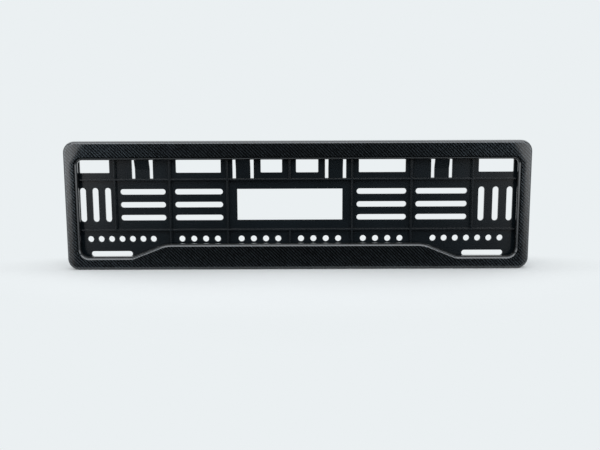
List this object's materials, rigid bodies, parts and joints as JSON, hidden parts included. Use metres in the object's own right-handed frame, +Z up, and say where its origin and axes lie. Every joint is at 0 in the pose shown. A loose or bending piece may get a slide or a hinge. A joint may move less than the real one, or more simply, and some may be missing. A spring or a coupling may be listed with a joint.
{
  "type": "number plate holder",
  "caption": "Long shallow car number plate holder: a gloss carbon-look front frame with a rolled lip and dropped ears, clipped over a ribbed, slotted back plate with spring tongues.",
  "frame": {"origin": "centre of the holder's outer box", "axes": "+X along the width, to the right as seen from the front; +Z up; the face looks along -Y"},
  "size_m": [0.532, 0.015, 0.148],
  "materials": {
    "carbon_look_gloss": "gloss black with a fine diagonal weave print",
    "satin_black_plastic": "satin moulded black"
  },
  "bodies": {
    "root": {"front_frame": "carbon_look_gloss", "back_plate": "satin_black_plastic"}
  },
  "joints": []
}
